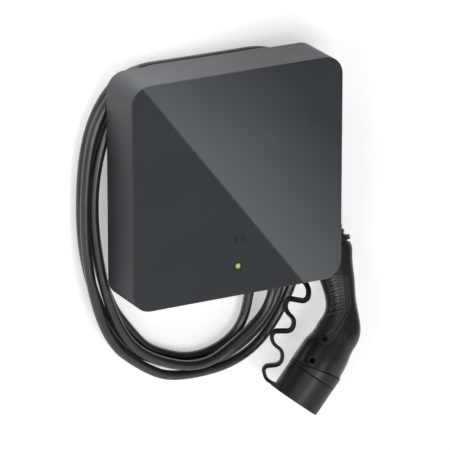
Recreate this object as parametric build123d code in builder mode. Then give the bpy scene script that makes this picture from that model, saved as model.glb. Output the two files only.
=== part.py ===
from build123d import *
import math
import os

os.makedirs("parts", exist_ok=True)

# All lengths are millimetres. X is to the right, Z is up, the wall is the plane Y = 0 and the front faces -Y.
# The origin is the centre of the four wall screws. A distance is measured from the wall into the room.

# Hood
hood_width = 300.0
hood_height = 300.0
hood_depth = 71.5
hood_corner = 25.0
hood_edge = 1.6
hood_wall = 3.0

# Rear housing: a tray under the hood with a narrower winding core behind it
core_depth = 48.5
core_width = 190.0
core_top = 120.7
core_bottom = -80.0
core_shoulder = 45.0
core_foot = 8.0
tray_depth = 47.0
housing_wall = 3.0
back_wall = 4.0
hood_play = 0.5

# Wall screws
wall_screw_span_x = 130.0
wall_screw_span_z = 120.0
wall_screw_radius = 3.25
wall_screw_pad = 9.0
wall_screw_pad_height = 1.5

# Seal, inner cover and their screws
seal_thickness = 1.5
cover_thickness = 3.0
cover_screw_inset = 9.0
boss_radius = 5.0
thread_radius = 1.5
thread_clearance = 0.15
head_radius = 3.1
head_height = 2.2
recess_radius = 1.5
recess_depth = 1.3
cover_screw_length = 14.0
board_screw_length = 6.0

# Screws that hold the hood from below
hood_screw_x = 100.0
hood_screw_distance = 66.0
hood_screw_length = 12.0

# Status light and boards behind the face
light_x = -1.0
light_z = -109.4
light_radius = 3.7
light_flange_radius = 6.0
light_flange = 1.4
light_proud = 0.4
light_fit = 0.15
board_thickness = 1.6
standoff_height = 5.0
standoff_radius = 3.0
light_board_width = 64.0
light_board_height = 22.0
reader_x = -2.5
reader_z = -68.0
reader_width = 60.0
reader_height = 48.0
reader_border = 9.0
board_screw_inset = 4.0
chip_size = 3.6
chip_height = 1.8

# Current selector
selector_x = 110.0
selector_z = -92.0
selector_body = 14.0
selector_body_depth = 11.0
selector_shaft_radius = 3.0
selector_shaft_depth = 7.0
selector_bush_radius = 5.0
selector_bush_height = 1.5
knob_radius = 8.0
knob_height = 6.5
knob_slot = 1.6
turning_gap = 0.3

# Mounting rail and the devices on it
rail_z = 35.0
rail_length = 160.0
rail_height = 35.0
rail_base = 27.0
rail_depth = 7.5
rail_sheet = 1.0
rail_pad_height = 6.0
rail_pad_radius = 7.0
rail_screw_x = 68.0
device_height = 88.0
device_shoulder = 44.0
device_nose_height = 45.0
device_nose = 64.0
meter_width = 36.0
relay_width = 54.0
terminal_width = 8.0
terminal_count = 5
terminal_height = 46.0
terminal_depth = 40.0
device_gap = 0.4
rail_start_x = -76.0

# Earth bar, current sensor and control board
earth_bar_length = 66.0
earth_bar_height = 9.0
earth_bar_depth = 6.0
earth_bar_x = -8.0
earth_bar_z = -60.0
earth_bar_stand = 8.0
earth_hole_radius = 2.0
sensor_outer = 16.5
sensor_inner = 9.5
sensor_height = 14.0
sensor_z = -46.0
control_board_width = 176.0
control_board_height = 40.0
control_board_x = -24.0
control_board_z = -105.0
control_standoff = 8.0
board_relay_width = 18.0
board_relay_height = 24.0
board_relay_depth = 16.0
strip_width = 56.0
strip_height = 9.0
strip_depth = 11.0
strip_ways = 8

# Supply entry through the back wall
supply_x = -72.0
supply_z = -22.0
supply_bore_radius = 9.0
supply_hole_radius = 13.0
supply_lip = 3.0
supply_lip_thickness = 2.5

# Charging cable and its gland
cable_radius = 6.5
cable_gap = 0.3
gland_x = 68.0
gland_distance = 24.0
gland_thread_radius = 12.4
gland_flange_flats = 30.0
gland_flange = 8.0
gland_dome = 20.0
gland_dome_radius = 13.5
gland_mouth_radius = 9.5
gland_nut_flats = 32.0
gland_nut = 5.0
gland_nut_gap = 0.2
gland_inside = 10.0
seal_sleeve_radius = 10.0
lead_radius = 1.7
lead_ring = 4.2
lead_count = 5
lead_order = [2, 3, 1, 4, 0]
sheath_end_z = -66.0

# Plug: its mirror plane is turned to the left and leans back against the wall
plug_end_x = 102.6
plug_end_distance = 82.1
plug_end_z = -327.1
plug_turn = 27.8
plug_lean = 19.7
nose_tilt = 34.1
nose_radius = 27.8
nose_flat = 22.4
nose_start = 9.0
collar_radius = 34.3
collar_start = 41.0
collar_end = 52.0
collar_slant = 12.0
cap_wall = 2.8
cap_radius = 34.1
cap_lip_start = 27.0
cap_lip = 3.0
cap_fit = 0.5
contact_hole_radius = 4.4
signal_hole_radius = 3.1
contact_hole_depth = 30.0
contact_radius = 4.1
contact_bore_radius = 3.0
contact_length = 23.0
signal_radius = 2.8
signal_bore_radius = 1.5
handle_angle = 41.0
relief_angle = 50.0
relief_length = 46.0
relief_base_radius = 13.5
relief_tip_radius = 9.2
relief_ribs = 5
relief_groove = 1.8
relief_insert = 22.0
grip_floor = 13.5
grip_proud = 0.8
grip_seam = 0.6
grip_corner = 3.0
grip_groove = 2.2
grip_groove_width = 3.2
grip_groove_length = 17.0
grip_groove_start = (121.0, 17.0)
grip_groove_pitch = 8.0
grip_grooves = 6
pocket_radius = 3.4
pocket_floor = 9.0
plug_screw_radius = 2.6
plug_screw_height = 2.0
plug_screw_length = 15.0
tether_thickness = 4.0
tether_width = 7.0
cap_lug = 3.0
cap_lug_length = 6.0
cap_tab = 1.6
cap_tab_width = 22.0
cap_tab_start = 36.5
ring_radius = 18.0
ring_start = 2.0
ring_width = 7.0

tray_width = hood_width - 2 * (hood_wall + hood_play)
tray_height = hood_height - 2 * (hood_wall + hood_play)
tray_corner = hood_corner - hood_wall - hood_play
tray_inner_width = tray_width - 2 * housing_wall
tray_inner_height = tray_height - 2 * housing_wall
tray_inner_corner = tray_corner - housing_wall
floor_distance = core_depth + housing_wall
control_back = floor_distance + control_standoff
rim_distance = core_depth + tray_depth
cover_back = rim_distance + seal_thickness
cover_front = cover_back + cover_thickness
hood_inside = core_depth + hood_depth - hood_wall
core_middle = (core_top + core_bottom) / 2
bore_radius = thread_radius + thread_clearance
cover_screw_x = tray_width / 2 - housing_wall - cover_screw_inset
cover_screw_z = tray_height / 2 - housing_wall - cover_screw_inset
cover_screw_spots = [(sx * cover_screw_x, sz * cover_screw_z) for sx in (-1, 1) for sz in (-1, 1)]
wall_screw_spots = [
    (sx * wall_screw_span_x / 2, sz * wall_screw_span_z / 2) for sx in (-1, 1) for sz in (-1, 1)
]
control_spots = [
    (control_board_x + sx * (control_board_width / 2 - board_screw_inset),
     control_board_z + sz * (control_board_height / 2 - board_screw_inset))
    for sx in (-1, 1) for sz in (-1, 1)
]
light_board_spots = [
    (light_x + side * (light_board_width / 2 - board_screw_inset), light_z) for side in (-1, 1)
]
reader_spots = [
    (reader_x + side * (reader_width / 2 - board_screw_inset), reader_z) for side in (-1, 1)
]
front_board_spots = light_board_spots + reader_spots
front_board_back = cover_front + standoff_height
hood_screw_spots = [(-hood_screw_x, -hood_screw_distance), (hood_screw_x, -hood_screw_distance)]
light_spot = [(light_x, light_z)]
selector_spot = [(selector_x, selector_z)]
clear_radius = thread_radius + 2 * thread_clearance
front_board_face = front_board_back + board_thickness
rail_spots = [(side * rail_screw_x, rail_z) for side in (-1, 1)]
rail_back = back_wall + rail_pad_height
rail_front = rail_back + rail_depth


def facing(distance):
    return Plane.XZ.offset(distance)


def core_outline(distance, shrink):
    with BuildSketch(facing(distance)) as outline:
        with Locations((0, core_middle)):
            Rectangle(core_width - 2 * shrink, core_top - core_bottom - 2 * shrink)
        fillet(outline.vertices().group_by(Axis.Y)[-1], core_shoulder - shrink)
        fillet(outline.vertices().group_by(Axis.Y)[0], core_foot - shrink)
    return outline.sketch


def discs(distance, spots, radius):
    with BuildSketch(facing(distance)) as outline:
        with Locations(*spots):
            Circle(radius)
    return outline.sketch


def facing_screws(seat, spots, length):
    with BuildPart() as screws:
        extrude(discs(seat, spots, head_radius), amount=head_height)
        extrude(discs(seat, spots, thread_radius), amount=-length)
        with BuildSketch(facing(seat + head_height)):
            with Locations(*spots):
                RegularPolygon(recess_radius, 6)
        extrude(amount=-recess_depth, mode=Mode.SUBTRACT)
    return screws.part


def finish(piece, name):
    piece.label = name
    export_step(piece, f"parts/{name}.step")


# Hood: one moulded shell, open at the back, with a hole for the status light
with BuildPart() as hood:
    with BuildSketch(facing(core_depth)):
        RectangleRounded(hood_width, hood_height, hood_corner)
    extrude(amount=hood_depth)
    fillet(hood.faces().sort_by(Axis.Y)[0].edges(), hood_edge)
    with BuildSketch(facing(core_depth)):
        RectangleRounded(hood_width - 2 * hood_wall, hood_height - 2 * hood_wall, hood_corner - hood_wall)
    extrude(amount=hood_depth - hood_wall, mode=Mode.SUBTRACT)
    extrude(discs(hood_inside, light_spot, light_radius + light_fit), amount=hood_wall, mode=Mode.SUBTRACT)
    with BuildSketch(Plane.XY.offset(-hood_height / 2)):
        with Locations(*hood_screw_spots):
            Circle(clear_radius)
    extrude(amount=hood_wall, mode=Mode.SUBTRACT)
    with BuildSketch(Plane.XY.offset(-hood_height / 2)):
        with Locations(*hood_screw_spots):
            Circle(head_radius + thread_clearance)
    extrude(amount=head_height, mode=Mode.SUBTRACT)
finish(hood.part, "hood")

# Rear housing: the cable is wound on the core, and the electronics sit in the core and the tray
with BuildPart() as rear_housing:
    extrude(core_outline(0, 0), amount=core_depth)
    with BuildSketch(facing(core_depth)):
        RectangleRounded(tray_width, tray_height, tray_corner)
    extrude(amount=tray_depth)
    extrude(core_outline(back_wall, housing_wall), amount=core_depth, mode=Mode.SUBTRACT)
    with BuildSketch(facing(floor_distance)):
        RectangleRounded(tray_inner_width, tray_inner_height, tray_inner_corner)
    extrude(amount=tray_depth, mode=Mode.SUBTRACT)
    extrude(discs(floor_distance, cover_screw_spots, boss_radius), amount=cover_back - floor_distance)
    extrude(discs(floor_distance, control_spots, standoff_radius), amount=control_standoff)
    extrude(discs(back_wall, rail_spots, rail_pad_radius), amount=rail_pad_height)
    extrude(discs(back_wall, wall_screw_spots, wall_screw_pad), amount=wall_screw_pad_height)
    with BuildSketch(facing(back_wall)):
        with Locations((earth_bar_x, earth_bar_z)):
            Rectangle(earth_bar_length, earth_bar_height)
    extrude(amount=earth_bar_stand)
    with BuildSketch(facing(back_wall)):
        with Locations((gland_x, sensor_z)):
            Rectangle(sensor_outer, sensor_height)
    extrude(amount=gland_distance - sensor_outer - cable_gap - back_wall)
    with BuildSketch(Plane.XY.offset(housing_wall - tray_height / 2)):
        with Locations(*hood_screw_spots):
            Circle(boss_radius)
    extrude(amount=hood_screw_length)
    with BuildSketch(Plane.XY.offset(-tray_height / 2)):
        with Locations(*hood_screw_spots):
            Circle(bore_radius)
    extrude(amount=hood_screw_length, mode=Mode.SUBTRACT)
    extrude(discs(cover_back, cover_screw_spots, bore_radius), amount=-cover_screw_length, mode=Mode.SUBTRACT)
    extrude(discs(control_back, control_spots, bore_radius), amount=-board_screw_length, mode=Mode.SUBTRACT)
    extrude(discs(rail_back, rail_spots, bore_radius), amount=-board_screw_length, mode=Mode.SUBTRACT)
    pad_front = back_wall + wall_screw_pad_height
    extrude(discs(0, wall_screw_spots, wall_screw_radius), amount=pad_front, mode=Mode.SUBTRACT)
    extrude(discs(0, [(supply_x, supply_z)], supply_hole_radius), amount=back_wall, mode=Mode.SUBTRACT)
    with BuildSketch(Plane.XY.offset(core_bottom)):
        with Locations((gland_x, -gland_distance)):
            Circle(gland_thread_radius + cable_gap)
    extrude(amount=housing_wall, mode=Mode.SUBTRACT)
finish(rear_housing.part, "rear_housing")

# Seal between the tray's rim and the inner cover
with BuildPart() as housing_seal:
    with BuildSketch(facing(rim_distance)):
        RectangleRounded(tray_width, tray_height, tray_corner)
        RectangleRounded(
            tray_inner_width, tray_inner_height, tray_inner_corner, mode=Mode.SUBTRACT
        )
    extrude(amount=seal_thickness)
finish(housing_seal.part, "housing_seal")

# Inner cover: closes the tray and carries the boards behind the face
with BuildPart() as inner_cover:
    with BuildSketch(facing(cover_back)):
        RectangleRounded(tray_width, tray_height, tray_corner)
    extrude(amount=cover_thickness)
    extrude(discs(cover_front, front_board_spots, standoff_radius), amount=standoff_height)
    extrude(discs(cover_front, selector_spot, selector_bush_radius), amount=selector_bush_height)
    extrude(
        discs(cover_back, cover_screw_spots, clear_radius),
        amount=cover_thickness,
        mode=Mode.SUBTRACT,
    )
    board_bores = discs(front_board_back, front_board_spots, bore_radius)
    extrude(board_bores, amount=-board_screw_length, mode=Mode.SUBTRACT)
    extrude(
        discs(cover_back, selector_spot, selector_shaft_radius + turning_gap),
        amount=cover_thickness + selector_bush_height,
        mode=Mode.SUBTRACT,
    )
finish(inner_cover.part, "inner_cover")

cover_screws = facing_screws(cover_front, cover_screw_spots, cover_screw_length - thread_clearance)
finish(cover_screws, "inner_cover_screws")
board_screw_reach = board_screw_length + board_thickness - thread_clearance
finish(facing_screws(front_board_face, front_board_spots, board_screw_reach), "face_board_screws")

with BuildPart() as hood_screws:
    with BuildSketch(Plane.XY.offset(-hood_height / 2)):
        with Locations(*hood_screw_spots):
            Circle(head_radius)
    extrude(amount=head_height)
    with BuildSketch(Plane.XY.offset(-hood_height / 2 + head_height)):
        with Locations(*hood_screw_spots):
            Circle(thread_radius)
    extrude(amount=hood_screw_length)
    with BuildSketch(Plane.XY.offset(-hood_height / 2)):
        with Locations(*hood_screw_spots):
            RegularPolygon(recess_radius, 6)
    extrude(amount=recess_depth, mode=Mode.SUBTRACT)
finish(hood_screws.part, "hood_screws")

# Status light: a lens through the hood with a flange behind its wall
with BuildPart() as light_lens:
    lens_back = front_board_face + chip_height + cable_gap
    lens_length = core_depth + hood_depth + light_proud - lens_back
    extrude(discs(lens_back, light_spot, light_radius), amount=lens_length)
    fillet(light_lens.faces().sort_by(Axis.Y)[0].edges(), light_proud)
    extrude(discs(hood_inside - light_flange, [(light_x, light_z)], light_flange_radius), amount=light_flange)
finish(light_lens.part, "light_lens")

with BuildPart() as light_board:
    with BuildSketch(facing(front_board_back)):
        with Locations((light_x, light_z)):
            RectangleRounded(light_board_width, light_board_height, 2)
        with Locations(*light_board_spots):
            Circle(clear_radius, mode=Mode.SUBTRACT)
    extrude(amount=board_thickness)
finish(light_board.part, "light_board")

with BuildPart() as light_chip:
    with BuildSketch(facing(front_board_face)):
        with Locations((light_x, light_z)):
            Rectangle(chip_size, chip_size)
    extrude(amount=chip_height)
finish(light_chip.part, "light_chip")

# Reader antenna: a flat frame behind the face
with BuildPart() as reader_antenna:
    with BuildSketch(facing(front_board_back)):
        with Locations((reader_x, reader_z)):
            RectangleRounded(reader_width, reader_height, 3)
            Rectangle(reader_width - 2 * reader_border, reader_height - 2 * reader_border, mode=Mode.SUBTRACT)
        with Locations(*reader_spots):
            Circle(clear_radius, mode=Mode.SUBTRACT)
    extrude(amount=board_thickness)
finish(reader_antenna.part, "reader_antenna")

# Current selector: body behind the inner cover, knob in front of it
with BuildPart() as selector_case:
    with BuildSketch(facing(cover_back)):
        with Locations((selector_x, selector_z)):
            RectangleRounded(selector_body, selector_body, 1)
    extrude(amount=-selector_body_depth)
    extrude(
        discs(cover_back, selector_spot, selector_shaft_radius + turning_gap),
        amount=-selector_shaft_depth - turning_gap,
        mode=Mode.SUBTRACT,
    )
finish(selector_case.part, "selector_case")

with BuildPart() as selector_knob:
    knob_back = cover_front + selector_bush_height + turning_gap
    shaft = discs(cover_back - selector_shaft_depth, selector_spot, selector_shaft_radius)
    extrude(shaft, amount=knob_back - cover_back + selector_shaft_depth)
    extrude(discs(knob_back, selector_spot, knob_radius), amount=knob_height)
    chamfer(selector_knob.faces().sort_by(Axis.Y)[0].edges(), 0.8)
    with BuildSketch(facing(knob_back + knob_height)):
        with Locations((selector_x, selector_z + knob_radius / 4)):
            Rectangle(knob_slot, knob_radius)
    extrude(amount=-knob_slot, mode=Mode.SUBTRACT)
finish(selector_knob.part, "selector_knob")

# Mounting rail: a hat section on two pads of the back wall
with BuildPart() as mounting_rail:
    with BuildSketch(Plane.YZ.offset(-rail_length / 2)):
        with BuildLine():
            Polyline(
                (-rail_front, rail_z - rail_height / 2),
                (-rail_front + rail_sheet, rail_z - rail_height / 2),
                (-rail_front + rail_sheet, rail_z - rail_base / 2),
                (-rail_back, rail_z - rail_base / 2),
                (-rail_back, rail_z + rail_base / 2),
                (-rail_front + rail_sheet, rail_z + rail_base / 2),
                (-rail_front + rail_sheet, rail_z + rail_height / 2),
                (-rail_front, rail_z + rail_height / 2),
                (-rail_front, rail_z + rail_base / 2 - rail_sheet),
                (-rail_back - rail_sheet, rail_z + rail_base / 2 - rail_sheet),
                (-rail_back - rail_sheet, rail_z - rail_base / 2 + rail_sheet),
                (-rail_front, rail_z - rail_base / 2 + rail_sheet),
                close=True,
            )
        make_face()
    extrude(amount=rail_length)
    extrude(discs(rail_back, rail_spots, clear_radius), amount=rail_sheet, mode=Mode.SUBTRACT)
finish(mounting_rail.part, "mounting_rail")
rail_screw_reach = board_screw_length + rail_sheet - thread_clearance
finish(facing_screws(rail_back + rail_sheet, rail_spots, rail_screw_reach), "rail_screws")


# A rail device has the usual stepped front: a low shoulder for the terminals and a nose for the display
def rail_device(left, width, height, shoulder, nose):
    with BuildPart() as device:
        with BuildSketch(Plane.YZ.offset(left)):
            with BuildLine():
                Polyline(
                    (-rail_front, rail_z - height / 2),
                    (-rail_front - shoulder, rail_z - height / 2),
                    (-rail_front - shoulder, rail_z - device_nose_height / 2),
                    (-rail_front - nose, rail_z - device_nose_height / 2),
                    (-rail_front - nose, rail_z + device_nose_height / 2),
                    (-rail_front - shoulder, rail_z + device_nose_height / 2),
                    (-rail_front - shoulder, rail_z + height / 2),
                    (-rail_front, rail_z + height / 2),
                    close=True,
                )
            make_face()
        extrude(amount=width)
    return device.part


meter_left = rail_start_x
relay_left = meter_left + meter_width + device_gap
terminal_left = relay_left + relay_width + device_gap

with BuildPart() as energy_meter:
    add(rail_device(meter_left, meter_width, device_height, device_shoulder, device_nose))
    with BuildSketch(facing(rail_front + device_nose)):
        with Locations((meter_left + meter_width / 2, rail_z + device_nose_height / 5)):
            Rectangle(meter_width * 0.7, device_nose_height * 0.3)
    extrude(amount=-1, mode=Mode.SUBTRACT)
finish(energy_meter.part, "energy_meter")

with BuildPart() as power_relay:
    add(rail_device(relay_left, relay_width, device_height, device_shoulder, device_nose))
    with BuildSketch(facing(rail_front + device_shoulder)):
        with Locations((relay_left + relay_width / 2, rail_z)):
            with GridLocations(relay_width / 4, device_height - 20, 4, 2):
                Rectangle(6, 6)
    extrude(amount=-2, mode=Mode.SUBTRACT)
finish(power_relay.part, "power_relay")

with BuildPart() as supply_terminals:
    for way in range(terminal_count):
        with BuildSketch(Plane.YZ.offset(terminal_left + way * (terminal_width + device_gap))):
            with BuildLine():
                Polyline(
                    (-rail_front, rail_z - terminal_height / 2),
                    (-rail_front - terminal_depth * 0.6, rail_z - terminal_height / 2),
                    (-rail_front - terminal_depth, rail_z - terminal_height / 5),
                    (-rail_front - terminal_depth, rail_z + terminal_height / 5),
                    (-rail_front - terminal_depth * 0.6, rail_z + terminal_height / 2),
                    (-rail_front, rail_z + terminal_height / 2),
                    close=True,
                )
            make_face()
        extrude(amount=terminal_width)
finish(supply_terminals.part, "supply_terminals")

# Earth bar on its ledge, with a row of clamping holes
with BuildPart() as earth_bar:
    with BuildSketch(facing(back_wall + earth_bar_stand)):
        with Locations((earth_bar_x, earth_bar_z)):
            Rectangle(earth_bar_length, earth_bar_height)
            with GridLocations(earth_bar_length / 6, 1, 6, 1):
                Circle(earth_hole_radius, mode=Mode.SUBTRACT)
    extrude(amount=earth_bar_depth)
finish(earth_bar.part, "earth_bar")

# Residual current sensor: a ring that the five conductors pass through
with BuildPart() as current_sensor:
    with BuildSketch(Plane.XY.offset(sensor_z - sensor_height / 2)):
        with Locations((gland_x, -gland_distance)):
            Circle(sensor_outer)
            Circle(sensor_inner, mode=Mode.SUBTRACT)
    extrude(amount=sensor_height)
finish(current_sensor.part, "current_sensor")

# Control board with its relays and terminal strip
control_face = control_back + board_thickness
with BuildPart() as control_board:
    with BuildSketch(facing(control_back)):
        with Locations((control_board_x, control_board_z)):
            RectangleRounded(control_board_width, control_board_height, 2)
        with Locations(*control_spots):
            Circle(clear_radius, mode=Mode.SUBTRACT)
    extrude(amount=board_thickness)
finish(control_board.part, "control_board")
finish(facing_screws(control_face, control_spots, board_screw_reach), "board_screws")

with BuildPart() as board_relays:
    with BuildSketch(facing(control_face)):
        with Locations((control_board_x - control_board_width / 4, control_board_z)):
            with GridLocations(board_relay_width + 4, 1, 3, 1):
                RectangleRounded(board_relay_width, board_relay_height, 1)
    extrude(amount=board_relay_depth)
finish(board_relays.part, "board_relays")

with BuildPart() as board_terminal_strip:
    with BuildSketch(facing(control_face)):
        with Locations((control_board_x + control_board_width / 4, control_board_z)):
            Rectangle(strip_width, strip_height)
    extrude(amount=strip_depth)
    with BuildSketch(facing(control_face + strip_depth)):
        with Locations((control_board_x + control_board_width / 4, control_board_z)):
            with GridLocations(strip_width / strip_ways, 1, strip_ways, 1):
                Rectangle(strip_width / strip_ways - 2, strip_height - 4)
    extrude(amount=-3, mode=Mode.SUBTRACT)
finish(board_terminal_strip.part, "board_terminal_strip")

# Grommet for the supply cable in the back wall, with its lip inside
with BuildPart() as supply_grommet:
    grommet_spot = [(supply_x, supply_z)]
    extrude(discs(0, grommet_spot, supply_hole_radius - thread_clearance), amount=back_wall)
    extrude(discs(back_wall, grommet_spot, supply_hole_radius + supply_lip), amount=supply_lip_thickness)
    grommet_length = back_wall + supply_lip_thickness
    extrude(discs(0, grommet_spot, supply_bore_radius), amount=grommet_length, mode=Mode.SUBTRACT)
finish(supply_grommet.part, "supply_grommet")

# Cable gland under the core: body, lock nut inside, dome nut and sealing sleeve
gland_centre = (gland_x, -gland_distance)
sleeve_bore = cable_radius + cable_gap
body_bore = seal_sleeve_radius + cable_gap
flange_bottom = core_bottom - gland_flange
mouth_z = flange_bottom - gland_dome


def gland_disc(z, radius):
    with BuildSketch(Plane.XY.offset(z)) as outline:
        with Locations(gland_centre):
            Circle(radius)
    return outline.sketch


with BuildPart() as gland_body:
    with BuildSketch(Plane.XY.offset(flange_bottom)):
        with Locations(gland_centre):
            RegularPolygon(gland_flange_flats / 2, 6, major_radius=False)
    extrude(amount=gland_flange)
    extrude(gland_disc(core_bottom, gland_thread_radius), amount=gland_inside)
    extrude(gland_disc(flange_bottom, body_bore), amount=gland_flange + gland_inside, mode=Mode.SUBTRACT)
finish(gland_body.part, "gland_body")

with BuildPart() as gland_lock_nut:
    with BuildSketch(Plane.XY.offset(core_bottom + housing_wall)):
        with Locations(gland_centre):
            RegularPolygon(gland_nut_flats / 2, 6, major_radius=False)
            Circle(gland_thread_radius + gland_nut_gap, mode=Mode.SUBTRACT)
    extrude(amount=gland_nut)
finish(gland_lock_nut.part, "gland_lock_nut")

with BuildPart() as gland_dome_nut:
    with BuildSketch(Plane.XZ.offset(gland_distance)):
        with BuildLine():
            rim = Line((gland_x + body_bore, flange_bottom), (gland_x + gland_dome_radius, flange_bottom))
            side = Line(rim @ 1, (gland_x + gland_dome_radius, flange_bottom - gland_dome / 2))
            crown = RadiusArc(side @ 1, (gland_x + gland_mouth_radius, mouth_z), gland_dome)
            mouth = Line(crown @ 1, (gland_x + sleeve_bore, mouth_z))
            throat = Line(mouth @ 1, (gland_x + sleeve_bore, mouth_z + gland_flange / 2))
            shelf = Line(throat @ 1, (gland_x + body_bore, mouth_z + gland_flange / 2))
            Line(shelf @ 1, rim @ 0)
        make_face()
    revolve(axis=Axis((gland_x, -gland_distance, 0), (0, 0, 1)))
finish(gland_dome_nut.part, "gland_dome_nut")

with BuildPart() as gland_sleeve:
    extrude(gland_disc(mouth_z + gland_flange / 2, seal_sleeve_radius), amount=gland_dome)
    extrude(gland_disc(mouth_z + gland_flange / 2, sleeve_bore), amount=gland_dome, mode=Mode.SUBTRACT)
finish(gland_sleeve.part, "gland_sleeve")

# Five conductors from the cable's end, through the sensor ring and up to the terminals
lead_top = rail_z - terminal_height / 2
with BuildPart() as inner_leads:
    for way in range(lead_count):
        turn = 2 * math.pi * lead_order[way] / lead_count
        start = (gland_x + lead_ring * math.cos(turn), -gland_distance + lead_ring * math.sin(turn))
        target_x = terminal_left + way * (terminal_width + device_gap) + terminal_width / 2
        with BuildLine():
            FilletPolyline(
                (start[0], start[1], sheath_end_z),
                (start[0], start[1], sensor_z + sensor_height),
                (target_x, -rail_front - terminal_depth / 2, lead_top - sensor_height),
                (target_x, -rail_front - terminal_depth / 2, lead_top),
                radius=6,
            )
        with BuildSketch(Plane.XY.offset(sheath_end_z)):
            with Locations(start):
                Circle(lead_radius)
        sweep()
finish(inner_leads.part, "inner_leads")


# A hanging cord is straight runs joined by arcs as large as the runs allow
def cord_radii(route):
    points = [Vector(*p) for p in route]
    radii = []
    for before, here, after in zip(points, points[1:], points[2:]):
        turn = math.radians((here - before).get_angle(after - here))
        shorter = min((here - before).length, (after - here).length)
        radii.append(0.45 * shorter / math.tan(turn / 2))
    return radii


def cord(route, name):
    radii = cord_radii(route)
    with BuildPart() as tube:
        with BuildLine() as path:
            FilletPolyline(*route, radius=radii)
        with BuildSketch(Plane(origin=path.line @ 0, z_dir=path.line % 0)):
            Circle(cable_radius)
        sweep()
    length = path.wires()[0].length
    share = tube.part.volume / (math.pi * cable_radius**2 * length)
    print(name, "length", round(length), "radii", [round(r) for r in radii], "volume share", round(share, 4))
    finish(tube.part, name)


# The coil hangs on the core's flat top, between the hood's back edge and the wall
coil_distance = 16.5
coil_depth = 27.0
coil_outer = [
    (100, 147), (136, 116), (153, 40), (150, -120), (124, -225), (66, -285), (-13, -300),
    (-84, -277), (-148, -206), (-181, -106), (-184, 32), (-156, 110), (-108, 147),
]
coil_inner = [
    (84, 121), (112, 88), (124, 5), (113, -150), (78, -222), (21, -257),
    (-46, -255), (-104, -213), (-147, -122), (-159, -8), (-138, 76), (-88, 121),
]


def loop_radii(outline):
    closed = [outline[-1]] + outline + [outline[0]]
    return cord_radii([(x, 0, z) for x, z in closed])


with BuildPart() as charging_cable_coil:
    with BuildSketch(facing(coil_distance)):
        for outline, step in ((coil_outer, Mode.ADD), (coil_inner, Mode.SUBTRACT)):
            with BuildLine():
                FilletPolyline(*outline, radius=loop_radii(outline), close=True)
            make_face(mode=step)
    extrude(amount=coil_depth)
finish(charging_cable_coil.part, "charging_cable_coil")

lead_in_route = [(gland_x, -gland_distance, sheath_end_z), (68, -24, -145), (63, -24, -208), (35, -25, -248)]
cord(lead_in_route, "charging_cable_lead_in")

# Plug: local X runs back along the nose, local Y is the strap's side, and local Z faces the viewer
turn = math.radians(plug_turn)
lean = math.radians(plug_lean)
tilt = math.radians(nose_tilt)
sideways = Vector(math.cos(turn), -math.sin(turn), 0)
rising = Vector(math.sin(turn) * math.sin(lean), math.cos(turn) * math.sin(lean), math.cos(lean))
nose_back = sideways * math.sin(tilt) + rising * math.cos(tilt)
plug_plane = Plane(
    origin=(plug_end_x, -plug_end_distance, plug_end_z), x_dir=nose_back, z_dir=sideways.cross(rising)
)


def plug_point(along, across):
    return plug_plane.from_local_coords(Vector(along, across, 0))


# A plane across the plug's length at a point of the mirror plane, for round and oval sections
def across_plug(along, across, angle):
    direction = math.radians(angle)
    return Plane(
        origin=plug_point(along, across),
        x_dir=plug_plane.y_dir * math.cos(direction) - plug_plane.x_dir * math.sin(direction),
        z_dir=plug_plane.x_dir * math.cos(direction) + plug_plane.y_dir * math.sin(direction),
    )


# Handle: oval sections along a bent centre line, from the collar over the elbow to the strain relief
handle_sections = [
    (44, 0.4, 0, 34.3, 34.3),
    (51, 0.6, 0, 34.0, 33.8),
    (58, 0.9, 0, 33.6, 33.0),
    (65, 1.2, 0, 33.2, 32.1),
    (72, 1.5, 0, 32.8, 31.0),
    (84, 1.9, 1.5, 30.8, 28.6),
    (95, 2.2, 4, 29.0, 26.0),
    (117.5, 6.5, 20, 27.0, 21.5),
    (134, 16.5, 36, 21.2, 18.5),
    (152, 31.6, handle_angle, 20.7, 18.0),
    (165, 44.6, handle_angle, 22.8, 18.5),
    (182, 56.0, handle_angle, 20.5, 17.5),
    (201.5, 67.6, relief_angle, 16.0, 15.5),
]
relief_start = handle_sections[-1][:2]
elbow_side = 40.0


# The body grown by a given amount, between two distances from the mirror plane
def handle_body(extra, low, high):
    with BuildPart() as body:
        for along, across, angle, half_width, half_thickness in handle_sections:
            with BuildSketch(across_plug(along, across, angle)):
                Ellipse(half_width + extra, half_thickness + extra)
                with Locations((0, (low + high) / 2)):
                    Rectangle(2 * elbow_side, high - low, mode=Mode.INTERSECT)
        loft()
    return body.part


# The collar's rear face slants, and the handle begins there
def behind_collar(keep_collar):
    with BuildPart() as block:
        with BuildSketch(plug_plane):
            with BuildLine():
                Polyline(
                    (collar_end - collar_slant / 2, elbow_side),
                    (collar_end + collar_slant / 2, -elbow_side),
                    (-elbow_side if keep_collar else 4 * elbow_side, -elbow_side),
                    (-elbow_side if keep_collar else 4 * elbow_side, elbow_side),
                    close=True,
                )
            make_face()
        extrude(amount=elbow_side, both=True)
    return block.part


grip_outline = [
    (174, 34), (160, 21), (147, 10), (133, 5), (112, 2), (97, 1), (85, 4),
    (80, 12), (86, 22), (104, 26), (122, 36), (140, 52), (158, 66),
]


def grip_area(play):
    with BuildPart() as area:
        with BuildSketch(plug_plane.offset(grip_floor)):
            with BuildLine():
                FilletPolyline(*grip_outline, radius=grip_corner, close=True)
            make_face()
            offset(amount=play)
        extrude(amount=elbow_side)
    return area.part


pocket_spots = [(89.5, 12.7), (57.0, 11.0)]
relief_axis = across_plug(*relief_start, relief_angle).z_dir
relief_side = Plane(origin=plug_point(*relief_start), x_dir=relief_axis, z_dir=plug_plane.z_dir)


def plug_discs(height, radius):
    with BuildSketch(plug_plane.offset(height)) as outline:
        with Locations(*pocket_spots):
            Circle(radius)
    return outline.sketch


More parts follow.
